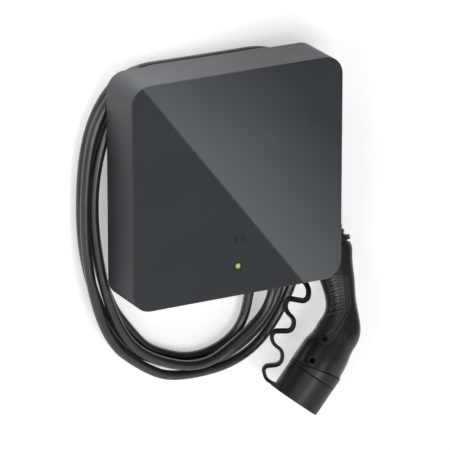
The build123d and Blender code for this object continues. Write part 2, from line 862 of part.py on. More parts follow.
# Handle halves meet on the mirror plane, each with a recess for its grip pad; screws join them from the right
pad_area = grip_area(grip_seam)
for name, low, high in (("right", 0, elbow_side), ("left", -elbow_side, 0)):
    with BuildPart() as half:
        add(handle_body(0, low, high))
        add(behind_collar(True), mode=Mode.SUBTRACT)
        add(pad_area, mode=Mode.SUBTRACT)
        add(mirror(pad_area, about=plug_plane), mode=Mode.SUBTRACT)
        extrude(plug_discs(pocket_floor, pocket_radius), amount=elbow_side, mode=Mode.SUBTRACT)
        extrude(plug_discs(pocket_floor, bore_radius), amount=-plug_screw_length, mode=Mode.SUBTRACT)
    finish(half.part, f"plug_handle_{name}")

with BuildPart() as plug_screws:
    extrude(plug_discs(pocket_floor, plug_screw_radius), amount=plug_screw_height)
    extrude(plug_discs(pocket_floor, thread_radius), amount=thread_clearance - plug_screw_length)
    with BuildSketch(plug_plane.offset(pocket_floor + plug_screw_height)):
        with Locations(*pocket_spots):
            RegularPolygon(recess_radius, 6)
    extrude(amount=-recess_depth, mode=Mode.SUBTRACT)
finish(plug_screws.part, "plug_screws")

# Grip pads: soft inserts, a little proud of the handle, with finger grooves of even depth
with BuildPart() as grooves:
    for groove in range(grip_grooves):
        rise = groove * grip_groove_pitch
        along = grip_groove_start[0] + rise * math.cos(math.radians(handle_angle))
        across = grip_groove_start[1] + rise * math.sin(math.radians(handle_angle))
        with BuildSketch(across_plug(along, across, handle_angle)):
            Rectangle(grip_groove_length, 2 * elbow_side)
        extrude(amount=grip_groove_width)
    add(handle_body(grip_proud - grip_groove, 0, elbow_side), mode=Mode.SUBTRACT)
with BuildPart() as grip_pad_right:
    add(handle_body(grip_proud, 0, elbow_side))
    add(grip_area(0), mode=Mode.INTERSECT)
    add(grooves.part, mode=Mode.SUBTRACT)
    extrude(plug_discs(grip_floor, pocket_radius), amount=elbow_side, mode=Mode.SUBTRACT)
finish(grip_pad_right.part, "grip_pad_right")
finish(mirror(grip_pad_right.part, about=plug_plane), "grip_pad_left")

# Strain relief: a tapered ribbed sleeve round the cable
with BuildPart() as plug_strain_relief:
    with BuildSketch(relief_side):
        with BuildLine():
            outline = [(0, sleeve_bore), (0, relief_base_radius)]
            first_rib = ring_start + ring_width + 1
            rib_pitch = (relief_length - first_rib) / relief_ribs
            taper = (relief_base_radius - relief_tip_radius) / relief_ribs
            for rib in range(relief_ribs):
                start = first_rib + rib * rib_pitch
                radius = relief_base_radius - rib * taper
                outline += [
                    (start, radius),
                    (start + rib_pitch * 0.1, radius - relief_groove),
                    (start + rib_pitch * 0.4, radius - relief_groove - taper * 0.4),
                    (start + rib_pitch * 0.5, radius - taper * 0.5),
                ]
            outline += [(relief_length, relief_tip_radius), (relief_length, sleeve_bore)]
            Polyline(*outline, close=True)
        make_face()
    revolve(axis=Axis(relief_side.origin, relief_side.x_dir))
finish(plug_strain_relief.part, "plug_strain_relief")

with BuildPart() as tether_ring:
    with BuildSketch(across_plug(*relief_start, relief_angle).offset(ring_start)):
        Circle(ring_radius)
        Circle(relief_base_radius + cable_gap, mode=Mode.SUBTRACT)
    extrude(amount=ring_width)
    fillet(tether_ring.edges(), 1)
finish(tether_ring.part, "tether_ring")

# Collar: the round seat that the cap's rim meets
with BuildPart() as plug_collar:
    with BuildSketch(across_plug(collar_start, 0, 0)):
        Circle(collar_radius)
    extrude(amount=elbow_side)
    add(behind_collar(True), mode=Mode.INTERSECT)
finish(plug_collar.part, "plug_collar")

# Nose: round with one flat side, with five power holes and two signal holes
power_spots = [(0, 0), (0, -15.5), (0, 15.5), (13.5, -8), (13.5, 8)]
signal_spots = [(-12.5, -7), (-12.5, 7)]
nose_length = collar_start - nose_start
hole_bottom = nose_start + contact_hole_depth


def nose_discs(along, spots, radius):
    with BuildSketch(across_plug(along, 0, 0)) as outline:
        with Locations(*spots):
            Circle(radius)
    return outline.sketch


with BuildPart() as plug_nose:
    with BuildSketch(across_plug(nose_start, 0, 0)) as nose_outline:
        Circle(nose_radius)
        with Locations((-nose_flat - nose_radius, 0)):
            Rectangle(2 * nose_radius, 2 * nose_radius, mode=Mode.SUBTRACT)
        fillet(nose_outline.vertices(), 3)
    extrude(amount=nose_length)
    for spots, radius in ((power_spots, contact_hole_radius), (signal_spots, signal_hole_radius)):
        extrude(nose_discs(nose_start, spots, radius), amount=contact_hole_depth, mode=Mode.SUBTRACT)
finish(plug_nose.part, "plug_nose")

for spots, outer, inner, name in (
    (power_spots, contact_radius, contact_bore_radius, "power_contacts"),
    (signal_spots, signal_radius, signal_bore_radius, "signal_contacts"),
):
    with BuildPart() as contacts:
        extrude(nose_discs(hole_bottom, spots, outer), amount=-contact_length)
        extrude(nose_discs(hole_bottom, spots, inner), amount=-contact_length, mode=Mode.SUBTRACT)
    finish(contacts.part, name)

# Dust cap: a cup over the nose, with a lip that grips it, a lug for the strap and a tab to pull it by
with BuildPart() as dust_cap:
    with BuildSketch(across_plug(0, 0, 0)):
        Circle(cap_radius)
    extrude(amount=collar_start - turning_gap)
    with BuildSketch(across_plug(cap_wall, 0, 0)):
        Circle(cap_radius - cap_wall)
    extrude(amount=collar_start, mode=Mode.SUBTRACT)
    with BuildSketch(across_plug(cap_lip_start, 0, 0)):
        Circle(cap_radius - cap_wall)
        Circle(nose_radius + cap_fit, mode=Mode.SUBTRACT)
    extrude(amount=cap_lip)
    with BuildSketch(across_plug(0, 0, 0)):
        with Locations((cap_radius, 0)):
            Rectangle(2 * cap_lug, tether_width + 2)
        Circle(cap_radius - cap_wall / 2, mode=Mode.SUBTRACT)
    extrude(amount=cap_lug_length)
    with BuildSketch(across_plug(cap_tab_start, 0, 0)):
        Circle(cap_radius + cap_tab)
        Circle(cap_radius - cap_wall / 2, mode=Mode.SUBTRACT)
        with Locations((0, cap_radius)):
            Rectangle(cap_tab_width, cap_radius, mode=Mode.INTERSECT)
    extrude(amount=collar_start - turning_gap - cap_tab_start)
finish(dust_cap.part, "dust_cap")

# Strap: a flat band that hangs in waves from the ring to the cap's lug, in front of the coil
lug_across = cap_radius + cap_lug
strap_route = [
    (3, lug_across, 0), (3, 47, 0), (14, 60, 2), (30, 41, 4), (46, 49, 6), (46, 66, 8),
    (59, 76, 11), (74, 54, 12), (88, 59, 13), (91, 76, 15), (105, 85, 17), (117, 59, 17),
    (132, 66, 18), (138, 81, 18), (150, 86, 13), (163, 70, 8), (177, 82, 3), (191.2, 83.4, 0),
]
strap_points = [tuple(plug_plane.from_local_coords(Vector(*spot))) for spot in strap_route]
with BuildPart() as cap_strap:
    with BuildLine():
        FilletPolyline(*strap_points, radius=cord_radii(strap_points))
    with BuildSketch(across_plug(*strap_route[0][:2], 90)):
        Rectangle(tether_thickness, tether_width)
    sweep()
finish(cap_strap.part, "cap_strap")

# The cable leaves the coil's top right and comes down to the plug
tail_inside = relief_side.from_local_coords(Vector(relief_length - relief_insert, 0, 0))
tail_route = [
    tuple(tail_inside), (178, -16, -66), (171, -16, -10), (163, -20, 50), (147, -26, 98), (124, -30, 124),
]
cord(tail_route, "charging_cable_tail")
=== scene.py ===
import math

import bmesh
import bpy
from mathutils import Matrix, Vector


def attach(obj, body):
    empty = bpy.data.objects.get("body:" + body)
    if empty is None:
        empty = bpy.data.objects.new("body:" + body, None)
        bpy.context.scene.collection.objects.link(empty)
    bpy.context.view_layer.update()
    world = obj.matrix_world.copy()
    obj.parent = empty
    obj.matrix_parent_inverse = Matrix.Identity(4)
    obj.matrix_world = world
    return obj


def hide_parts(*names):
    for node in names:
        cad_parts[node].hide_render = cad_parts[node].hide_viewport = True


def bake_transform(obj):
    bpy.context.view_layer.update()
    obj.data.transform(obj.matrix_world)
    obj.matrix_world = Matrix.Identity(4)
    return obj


# sizes and places are in metres
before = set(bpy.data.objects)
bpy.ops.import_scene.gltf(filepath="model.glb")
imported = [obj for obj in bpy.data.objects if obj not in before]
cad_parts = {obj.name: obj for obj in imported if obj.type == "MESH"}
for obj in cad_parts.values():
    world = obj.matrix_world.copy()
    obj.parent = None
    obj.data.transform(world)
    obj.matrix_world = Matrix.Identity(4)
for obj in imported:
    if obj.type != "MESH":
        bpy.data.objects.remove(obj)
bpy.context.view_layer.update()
scene = bpy.context.scene
print("frame loaded")

# camera: a long lens, left of the front and above it (angles in degrees, lens and sensor in mm)
view = {
    "azimuth": -27.8,
    "elevation": 19.7,
    "distance": 5.8,
    "lens": 365.0,
    "sensor": 36.0,
    "clip": (0.1, 50),
    "aim": Vector((-0.0103, -0.1023, -0.0581)),
}


def makeCamera():
    turn = math.radians(view["azimuth"])
    lift = math.radians(view["elevation"])
    back = Vector((math.sin(turn) * math.cos(lift), -math.cos(turn) * math.cos(lift), math.sin(lift)))
    data = bpy.data.cameras.new("camera")
    data.lens = view["lens"]
    data.sensor_width = view["sensor"]
    data.clip_start, data.clip_end = view["clip"]
    camera = bpy.data.objects.new("camera", data)
    camera.location = view["aim"] + back * view["distance"]
    camera.rotation_euler = (-back).to_track_quat("-Z", "Y").to_euler()
    scene.collection.objects.link(camera)
    scene.camera = camera


makeCamera()
print("camera placed")


def newMaterial(name):
    material = bpy.data.materials.new(name)
    material.use_nodes = True
    return material


def openMaterial(material):
    tree = material.node_tree
    return tree, tree.nodes["Principled BSDF"]


def objectPoint(tree):
    return tree.nodes.new("ShaderNodeTexCoord").outputs["Object"]


def splitPoint(tree, point):
    split = tree.nodes.new("ShaderNodeSeparateXYZ")
    tree.links.new(point, split.inputs[0])
    return split.outputs


def noise(tree, point, scale, detail):
    texture = tree.nodes.new("ShaderNodeTexNoise")
    texture.inputs["Scale"].default_value = scale
    texture.inputs["Detail"].default_value = detail
    tree.links.new(point, texture.inputs["Vector"])
    return texture.outputs["Fac"]


# moves a value from one range to another, and holds it at the ends
def spread(tree, value, low, high, toLow=0, toHigh=1):
    node = tree.nodes.new("ShaderNodeMapRange")
    node.inputs["From Min"].default_value = low
    node.inputs["From Max"].default_value = high
    node.inputs["To Min"].default_value = toLow
    node.inputs["To Max"].default_value = toHigh
    tree.links.new(value, node.inputs["Value"])
    return node.outputs["Result"]


def blendColours(tree, share, first, second):
    node = tree.nodes.new("ShaderNodeMix")
    node.data_type = "RGBA"
    tree.links.new(share, node.inputs["Factor"])
    # inputs 6 and 7 and output 2 are the ones for colours
    for socket, colour in ((node.inputs[6], first), (node.inputs[7], second)):
        if isinstance(colour, tuple):
            socket.default_value = (*colour, 1)
        else:
            tree.links.new(colour, socket)
    return node.outputs[2]


def bump(tree, height, strength, depth, before=None):
    node = tree.nodes.new("ShaderNodeBump")
    node.inputs["Strength"].default_value = strength
    node.inputs["Distance"].default_value = depth
    tree.links.new(height, node.inputs["Height"])
    if before is not None:
        tree.links.new(before, node.inputs["Normal"])
    return node.outputs["Normal"]


# arithmetic with numbers and the outputs of other nodes
def reckon(tree, operation, first, second=None):
    node = tree.nodes.new("ShaderNodeMath")
    node.operation = operation
    for socket, value in zip(node.inputs, (first, second)):
        if value is None:
            continue
        if isinstance(value, (int, float)):
            socket.default_value = value
        else:
            tree.links.new(value, socket)
    return node.outputs[0]


def allOf(tree, first, *others):
    for other in others:
        first = reckon(tree, "MULTIPLY", first, other)
    return first


def reckonVector(tree, operation, first, second):
    node = tree.nodes.new("ShaderNodeVectorMath")
    node.operation = operation
    for socket, value in zip(node.inputs, (first, second)):
        if isinstance(value, (tuple, Vector)):
            socket.default_value = value
        else:
            tree.links.new(value, socket)
    return node.outputs


# distance from a centre on the front, with the ways across and up to the point
def fromCentre(tree, x, z, centre):
    across = reckon(tree, "SUBTRACT", x, centre[0])
    up = reckon(tree, "SUBTRACT", z, centre[1])
    squareAcross = reckon(tree, "MULTIPLY", across, across)
    squareUp = reckon(tree, "MULTIPLY", up, up)
    return reckon(tree, "SQRT", reckon(tree, "ADD", squareAcross, squareUp)), across, up


# moulded plastic: fine spark-eroded grain, slow changes of tone, and duller rubbed patches
moulding = {
    "toneScale": 14,
    "toneDetail": 4,
    "toneRange": (0.3, 0.7),
    "grainDetail": 2,
    "grainDepth": 0.0002,
    "rubbed": (-0.05, 0.06),
    "specular": 0.3,
}


def mouldedPlastic(name, colour, roughness, grain=0.25, variation=0.12, grainScale=900):
    material = newMaterial(name)
    tree, shader = openMaterial(material)
    point = objectPoint(tree)
    slow = noise(tree, point, moulding["toneScale"], moulding["toneDetail"])
    fine = noise(tree, point, grainScale, moulding["grainDetail"])
    lighter = tuple(value * (1 + variation) for value in colour)
    darker = tuple(value * (1 - variation) for value in colour)
    share = spread(tree, slow, *moulding["toneRange"])
    smooth, dull = moulding["rubbed"]
    rubbed = spread(tree, slow, *moulding["toneRange"], roughness + smooth, roughness + dull)
    tree.links.new(blendColours(tree, share, darker, lighter), shader.inputs["Base Color"])
    tree.links.new(rubbed, shader.inputs["Roughness"])
    tree.links.new(bump(tree, fine, grain, moulding["grainDepth"]), shader.inputs["Normal"])
    shader.inputs["Specular IOR Level"].default_value = moulding["specular"]
    return material


# rubber: the same grain, finer, under a faint sheen
rubberSkin = {"grainScale": 1400, "variation": 0.18, "sheenRoughness": 0.4}


def rubber(name, colour, roughness, specular, sheen=0.12, grain=0.35):
    variation = rubberSkin["variation"]
    material = mouldedPlastic(name, colour, roughness, grain, variation, rubberSkin["grainScale"])
    shader = openMaterial(material)[1]
    shader.inputs["Sheen Weight"].default_value = sheen
    shader.inputs["Sheen Roughness"].default_value = rubberSkin["sheenRoughness"]
    shader.inputs["Specular IOR Level"].default_value = specular
    return material


# metal: brushed along x
brushing = {
    "stretch": (40, 900, 900),
    "detail": 3,
    "shade": 0.82,
    "range": (0.3, 0.7),
    "rubbed": (-0.06, 0.08),
    "strength": 0.15,
    "depth": 0.0001,
}


def metal(name, colour, roughness):
    material = newMaterial(name)
    tree, shader = openMaterial(material)
    mapping = tree.nodes.new("ShaderNodeMapping")
    mapping.inputs["Scale"].default_value = brushing["stretch"]
    tree.links.new(objectPoint(tree), mapping.inputs["Vector"])
    brushed = noise(tree, mapping.outputs["Vector"], 1, brushing["detail"])
    darker = tuple(value * brushing["shade"] for value in colour)
    smooth, dull = brushing["rubbed"]
    rubbed = spread(tree, brushed, *brushing["range"], roughness + smooth, roughness + dull)
    tree.links.new(blendColours(tree, brushed, darker, colour), shader.inputs["Base Color"])
    tree.links.new(rubbed, shader.inputs["Roughness"])
    tree.links.new(bump(tree, brushed, brushing["strength"], brushing["depth"]), shader.inputs["Normal"])
    shader.inputs["Metallic"].default_value = 1
    return material


# circuit boards: lighter raised tracks under a thin coat of lacquer
tracks = {
    "colour": (0.015, 0.14, 0.05),
    "lighter": 1.7,
    "scale": 180,
    "edge": (0.06, 0.1),
    "strength": 0.3,
    "depth": 0.0001,
    "roughness": 0.35,
    "lacquer": 0.3,
}


def circuitBoard():
    material = newMaterial("board")
    tree, shader = openMaterial(material)
    cells = tree.nodes.new("ShaderNodeTexVoronoi")
    cells.distance = "MANHATTAN"
    cells.feature = "DISTANCE_TO_EDGE"
    cells.inputs["Scale"].default_value = tracks["scale"]
    tree.links.new(objectPoint(tree), cells.inputs["Vector"])
    raised = spread(tree, cells.outputs["Distance"], *tracks["edge"], 1, 0)
    lighter = tuple(value * tracks["lighter"] for value in tracks["colour"])
    tree.links.new(blendColours(tree, raised, tracks["colour"], lighter), shader.inputs["Base Color"])
    tree.links.new(bump(tree, raised, tracks["strength"], tracks["depth"]), shader.inputs["Normal"])
    shader.inputs["Roughness"].default_value = tracks["roughness"]
    shader.inputs["Coat Weight"].default_value = tracks["lacquer"]
    return material


# status lamp: a green lens with a darker rim, and a dark halo on the hood round it
lampLens = {
    "centre": (-0.001, -0.1094),
    "core": 0.0026,
    "rim": 0.0040,
    "lit": (0.30, 0.52, 0.12),
    "unlit": (0.015, 0.045, 0.012),
    "glow": 0.35,
    "roughness": 0.2,
    "halo": (0.0042, 0.0085),
    "haloShare": 0.85,
    "haloColour": (0.008, 0.020, 0.006),
}


def lampPlastic():
    material = newMaterial("greenLamp")
    tree, shader = openMaterial(material)
    place = splitPoint(tree, objectPoint(tree))
    radius = fromCentre(tree, place["X"], place["Z"], lampLens["centre"])[0]
    rim = spread(tree, radius, lampLens["core"], lampLens["rim"])
    glow = blendColours(tree, rim, lampLens["lit"], lampLens["unlit"])
    tree.links.new(glow, shader.inputs["Base Color"])
    tree.links.new(glow, shader.inputs["Emission Color"])
    shader.inputs["Emission Strength"].default_value = lampLens["glow"]
    shader.inputs["Roughness"].default_value = lampLens["roughness"]
    return material


# hood's front: dark below a diagonal, and above it a painted reflection, a grey that fades to the right
hoodFront = {
    "plane": (-0.1185, -0.1195),
    "dark": (0.0320, 0.0365, 0.0400),
    # light: the grey of the painted reflection
    "light": (0.1180, 0.1290, 0.1370),
    "diagonalTop": (-0.134, 0.146),
    "diagonalFoot": (0.096, -0.150),
    "edgeWidth": 0.0035,
    "sideFade": (0.01, 0.200),
    "topFade": (0.05, 0.2),
    "topShare": 0.62,
}
# card reader's sign: dark arcs on both sides of its middle
readerSign = {
    "centre": (0.0010, -0.0730),
    "size": 0.0098,
    "arcs": 3,
    "arcEdge": (-0.2, 0.2),
    "outerEdge": (1, 0.97),
    "innerEdge": (0.3, 0.34),
    "steepness": 1.1,
    "colour": (0.010, 0.011, 0.012),
}
hoodSkin = {
    "dust": (0.14, 0.15, 0.16),
    "dustScale": 9,
    "dustDetail": 3,
    "dustRange": (0.35, 0.65),
    "dustShare": 0.04,
    "roughRange": (0.3, 0.7),
    "roughness": (0.40, 0.48),
    "specular": 0.22,
    "grainScale": 1500,
    "grainDetail": 2,
    "grain": 0.12,
    "grainDepth": 0.0001,
}


# painted reflection: light grey right of the diagonal, fading to the right and towards the top
def darkAndPaintedReflection(tree, x, z, front):
    topX, topZ = hoodFront["diagonalTop"]
    footX, footZ = hoodFront["diagonalFoot"]
    slope = (topX - footX) / (topZ - footZ)
    # distance to the right of the diagonal, level with the point
    drop = reckon(tree, "SUBTRACT", z, topZ)
    edge = reckon(tree, "ADD", reckon(tree, "MULTIPLY", drop, slope), topX)
    right = reckon(tree, "SUBTRACT", x, edge)
    half = hoodFront["edgeWidth"] / 2
    above = spread(tree, right, -half, half)
    sideFade = spread(tree, right, *hoodFront["sideFade"], 1, 0)
    topFade = spread(tree, z, *hoodFront["topFade"], 1, hoodFront["topShare"])
    share = allOf(tree, above, sideFade, topFade, front)
    return blendColours(tree, share, hoodFront["dark"], hoodFront["light"])


def signShare(tree, x, z, front):
    size = readerSign["size"]
    radius, across, up = fromCentre(tree, x, z, readerSign["centre"])
    turns = reckon(tree, "MULTIPLY", radius, 2 * math.pi * readerSign["arcs"] / size)
    arcs = spread(tree, reckon(tree, "SINE", turns), *readerSign["arcEdge"])
    inside = spread(tree, radius, *(size * share for share in readerSign["outerEdge"]))
    outside = spread(tree, radius, *(size * share for share in readerSign["innerEdge"]))
    sideways = reckon(tree, "ABSOLUTE", across)
    upright = reckon(tree, "MULTIPLY", reckon(tree, "ABSOLUTE", up), readerSign["steepness"])
    wedge = reckon(tree, "GREATER_THAN", sideways, upright)
    return allOf(tree, arcs, inside, outside, wedge, front)


def haloShare(tree, x, z, front):
    radius = fromCentre(tree, x, z, lampLens["centre"])[0]
    halo = spread(tree, radius, *lampLens["halo"], lampLens["haloShare"], 0)
    return allOf(tree, halo, front)


def hoodPlastic():
    material = newMaterial("hoodPlastic")
    tree, shader = openMaterial(material)
    point = objectPoint(tree)
    place = splitPoint(tree, point)
    x, y, z = place["X"], place["Y"], place["Z"]
    front = spread(tree, y, *hoodFront["plane"])
    # painted reflection over the dark tone, then the reader sign's print and the halo
    printAndReflection = darkAndPaintedReflection(tree, x, z, front)
    printAndReflection = blendColours(tree, signShare(tree, x, z, front), printAndReflection, readerSign["colour"])
    printAndReflection = blendColours(tree, haloShare(tree, x, z, front), printAndReflection, lampLens["haloColour"])
    slow = noise(tree, point, hoodSkin["dustScale"], hoodSkin["dustDetail"])
    dusty = spread(tree, slow, *hoodSkin["dustRange"], 0, hoodSkin["dustShare"])
    rubbed = spread(tree, slow, *hoodSkin["roughRange"], *hoodSkin["roughness"])
    fine = noise(tree, point, hoodSkin["grainScale"], hoodSkin["grainDetail"])
    tree.links.new(blendColours(tree, dusty, printAndReflection, hoodSkin["dust"]), shader.inputs["Base Color"])
    tree.links.new(rubbed, shader.inputs["Roughness"])
    tree.links.new(bump(tree, fine, hoodSkin["grain"], hoodSkin["grainDepth"]), shader.inputs["Normal"])
    shader.inputs["Specular IOR Level"].default_value = hoodSkin["specular"]
    return material


# plug: lines pressed into it are laid out along and across its handle
plugLayout = {
    "origin": Vector((0.1026, -0.0821, -0.3271)),
    "along": Vector((0.62612, -0.01456, 0.77959)),
    "across": Vector((-0.64434, 0.55337, 0.52783)),
    "pressStrength": 0.8,
}


def handlePlace(tree):
    point = objectPoint(tree)
    place = tree.nodes.new("ShaderNodeCombineXYZ")
    for socket, name in zip(place.inputs, ("along", "across")):
        reach = reckonVector(tree, "DOT_PRODUCT", point, plugLayout[name])["Value"]
        shift = plugLayout["origin"].dot(plugLayout[name])
        tree.links.new(reckon(tree, "SUBTRACT", reach, shift), socket)
    return place.outputs[0]


# distance from the stretch between two places on the handle
def lineDistance(tree, place, start, end):
    run = Vector((*end, 0)) - Vector((*start, 0))
    away = reckonVector(tree, "SUBTRACT", place, (*start, 0))[0]
    reach = reckonVector(tree, "DOT_PRODUCT", away, run / run.length_squared)["Value"]
    nearest = tree.nodes.new("ShaderNodeVectorMath")
    nearest.operation = "SCALE"
    nearest.inputs[0].default_value = run
    tree.links.new(spread(tree, reach, 0, 1), nearest.inputs["Scale"])
    return reckonVector(tree, "DISTANCE", away, nearest.outputs[0])["Value"]


def nearestLine(tree, place, lines):
    near = None
    for line in lines:
        for start, end in zip(line, line[1:]):
            gap = lineDistance(tree, place, start, end)
            near = gap if near is None else reckon(tree, "MINIMUM", near, gap)
    return near


# presses a pattern into a material, over the grain that it has
def pressIn(tree, shader, sunk, depth):
    grain = shader.inputs["Normal"].links[0].from_socket
    height = reckon(tree, "SUBTRACT", 1, sunk)
    pressed = bump(tree, height, plugLayout["pressStrength"], depth, grain)
    tree.links.new(pressed, shader.inputs["Normal"])


# grip pads: finger ribs and a border line
gripPads = {
    "colour": (0.017, 0.017, 0.0175),
    "roughness": 0.34,
    "specular": 0.65,
    "border": [(0.184, 0.0475), (0.1370, 0.0095), (0.1030, 0.0090), (0.0960, 0.0130)],
    "borderWidth": 0.0008,
    "borderClear": (0.003, 0.0042),
    "ribPitch": 0.0064,
    "ribLean": -1.2,
    "ribEdge": (0.1, 0.9),
    "ribsFrom": (0.145, 0.147),
    "ribShare": 0.7,
    "depth": 0.0012,
}


def ribbedRubber():
    material = rubber("ribbedRubber", gripPads["colour"], gripPads["roughness"], gripPads["specular"])
    tree, shader = openMaterial(material)
    place = handlePlace(tree)
    parts = splitPoint(tree, place)
    near = nearestLine(tree, place, [gripPads["border"]])
    line = spread(tree, near, gripPads["borderWidth"], 2 * gripPads["borderWidth"], 1, 0)
    # ribs lean across the pad and stop short of the border
    lean = reckon(tree, "SUBTRACT", parts["X"], reckon(tree, "MULTIPLY", parts["Y"], gripPads["ribLean"]))
    turns = reckon(tree, "MULTIPLY", lean, 2 * math.pi / gripPads["ribPitch"])
    rib = spread(tree, reckon(tree, "SINE", turns), *gripPads["ribEdge"])
    clear = spread(tree, near, *gripPads["borderClear"])
    started = spread(tree, lean, *gripPads["ribsFrom"])
    ribs = allOf(tree, rib, clear, started, gripPads["ribShare"])
    pressIn(tree, shader, reckon(tree, "MAXIMUM", line, ribs), gripPads["depth"])
    return material


# plug shell: seams between its mouldings, a crease beside the grip and sunk rims round the screws
plugShell = {
    "colour": (0.0085, 0.0085, 0.009),
    "seams": [
        [
            (0.0412, 0.0400), (0.0454, 0.0287), (0.0473, 0.0177), (0.0499, 0.0038), (0.0550, -0.0190),
            (0.0590, -0.0400),
        ],
        [(0.0408, 0.0400), (0.0408, -0.0400)],
        [(0.1370, 0.0020), (0.1210, -0.0001), (0.1095, -0.0030), (0.0976, -0.0093), (0.0880, -0.0110)],
        [(0.0912, 0.0400), (0.0905, 0.0190)],
    ],
    "seamWidth": 0.0008,
    "screws": [(0.0895, 0.0127), (0.0570, 0.0110)],
    "pocketLength": 0.0012,
    "pocketEdge": (0.0040, 0.0048),
    "depth": 0.0009,
    "shade": (0.001, 0.001, 0.001),
    "dulling": 0.6,
}


def seamedPlastic(name, roughness, specular):
    material = mouldedPlastic(name, plugShell["colour"], roughness)
    tree, shader = openMaterial(material)
    place = handlePlace(tree)
    near = nearestLine(tree, place, plugShell["seams"])
    sunk = spread(tree, near, plugShell["seamWidth"] / 2, plugShell["seamWidth"], 1, 0)
    for along, across in plugShell["screws"]:
        pocketEnd = (along + plugShell["pocketLength"], across)
        pocket = lineDistance(tree, place, (along, across), pocketEnd)
        sunk = reckon(tree, "MAXIMUM", sunk, spread(tree, pocket, *plugShell["pocketEdge"], 1, 0))
    pressIn(tree, shader, sunk, plugShell["depth"])
    # painted shade darkens the seams, the crease and the rims round the screws, which are also duller
    worn = shader.inputs["Roughness"].links[0].from_socket
    dull = reckon(tree, "ADD", worn, reckon(tree, "MULTIPLY", sunk, plugShell["dulling"]))
    tree.links.new(dull, shader.inputs["Roughness"])
    tone = shader.inputs["Base Color"].links[0].from_socket
    tree.links.new(blendColours(tree, sunk, tone, plugShell["shade"]), shader.inputs["Base Color"])
    shader.inputs["Specular IOR Level"].default_value = specular
    return material


finishes = {
    "hoodPlastic": hoodPlastic(),
    "housingPlastic": mouldedPlastic("housingPlastic", (0.014, 0.015, 0.0165), roughness=0.5),
    "coverPlastic": mouldedPlastic("coverPlastic", (0.05, 0.055, 0.06), roughness=0.5),
    "greenLamp": lampPlastic(),
    "sealRubber": rubber("sealRubber", (0.018, 0.018, 0.019), roughness=0.62, specular=0.3),
    "screwSteel": metal("screwSteel", (0.62, 0.62, 0.63), roughness=0.3),
    "blackSteel": metal("blackSteel", (0.030, 0.030, 0.031), roughness=0.42),
    "board": circuitBoard(),
    "devicePlastic": mouldedPlastic(
        "devicePlastic", (0.58, 0.59, 0.60), roughness=0.42, grain=0.15, variation=0.03,
    ),
    "relayPlastic": mouldedPlastic("relayPlastic", (0.03, 0.03, 0.032), roughness=0.4),
    "brass": metal("brass", (0.72, 0.54, 0.24), roughness=0.28),
    "glandPlastic": mouldedPlastic("glandPlastic", (0.022, 0.022, 0.024), roughness=0.36),
    "cableRubber": rubber(
        "cableRubber", (0.013, 0.013, 0.0135), roughness=0.29, specular=0.68, sheen=0.04, grain=0.12,
    ),
    "leadSheath": mouldedPlastic("leadSheath", (0.22, 0.10, 0.05), roughness=0.35),
    "plugPlastic": seamedPlastic("plugPlastic", roughness=0.30, specular=0.6),
    "capPlastic": seamedPlastic("capPlastic", roughness=0.40, specular=0.4),
    "gripRubber": rubber(
        "gripRubber", (0.012, 0.012, 0.0125), roughness=0.34, specular=0.5, sheen=0.04, grain=0.2,
    ),
    "strapRubber": rubber(
        "strapRubber", (0.003, 0.003, 0.0032), roughness=0.36, specular=0.12, sheen=0, grain=0.2,
    ),
    "ribbedRubber": ribbedRubber(),
    "contactSilver": metal("contactSilver", (0.78, 0.77, 0.75), roughness=0.2),
}
# which nodes have each finish
finishNodes = {
    "hoodPlastic": ["hood"],
    "housingPlastic": ["rear_housing"],
    "coverPlastic": ["inner_cover"],
    "greenLamp": ["light_lens"],
    "sealRubber": ["housing_seal", "supply_grommet", "gland_sleeve"],
    "screwSteel": [
        "inner_cover_screws", "face_board_screws", "hood_screws", "rail_screws", "board_screws",
        "mounting_rail",
    ],
    "blackSteel": ["plug_screws"],
    "board": ["light_board", "reader_antenna", "control_board", "board_terminal_strip"],
    "devicePlastic": ["light_chip", "selector_knob", "energy_meter", "supply_terminals"],
    "relayPlastic": ["selector_case", "power_relay", "current_sensor", "board_relays"],
    "brass": ["earth_bar"],
    "glandPlastic": ["gland_body", "gland_lock_nut", "gland_dome_nut"],
    "cableRubber": ["charging_cable_coil", "charging_cable_lead_in", "charging_cable_tail"],
    "leadSheath": ["inner_leads"],
    "plugPlastic": ["plug_handle_left", "plug_handle_right", "plug_nose"],
    "capPlastic": ["plug_collar", "dust_cap"],
    "gripRubber": ["plug_strain_relief", "tether_ring"],
    "strapRubber": ["cap_strap"],
    "ribbedRubber": ["grip_pad_left", "grip_pad_right"],
    "contactSilver": ["power_contacts", "signal_contacts"],
}
for finish, nodes in finishNodes.items():
    for node in nodes:
        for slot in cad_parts[node].material_slots:
            slot.material = finishes[finish]
print("finishes set")


# cap strap: a merged, smoothed copy of the part, swelled a little; its ring end and cap end are places
# along and across the plug
capStrap = {
    "ringEnd": (0.185, 0.082),
    "capEnd": (0.014, 0.045),
    "mergeWithin": 0.00002,
    "sharpOver": 35,  # degrees
    "swell": 0.0004,
}


def makeStrap():
    mesh = bmesh.new()
    mesh.from_mesh(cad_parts["cap_strap"].data)
    bmesh.ops.remove_doubles(mesh, verts=mesh.verts, dist=capStrap["mergeWithin"])
    mesh.normal_update()
    for vert in mesh.verts:
        vert.co += vert.normal * capStrap["swell"]
    for face in mesh.faces:
        face.smooth = True
        face.material_index = 0
    for edge in mesh.edges:
        edge.smooth = edge.calc_face_angle(0) < math.radians(capStrap["sharpOver"])
    data = bpy.data.meshes.new("cap_strap_band")
    mesh.to_mesh(data)
    mesh.free()
    data.materials.append(finishes["strapRubber"])
    piece = bpy.data.objects.new("cap_strap_band", data)
    scene.collection.objects.link(piece)
    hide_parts("cap_strap")
    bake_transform(piece)
    return piece


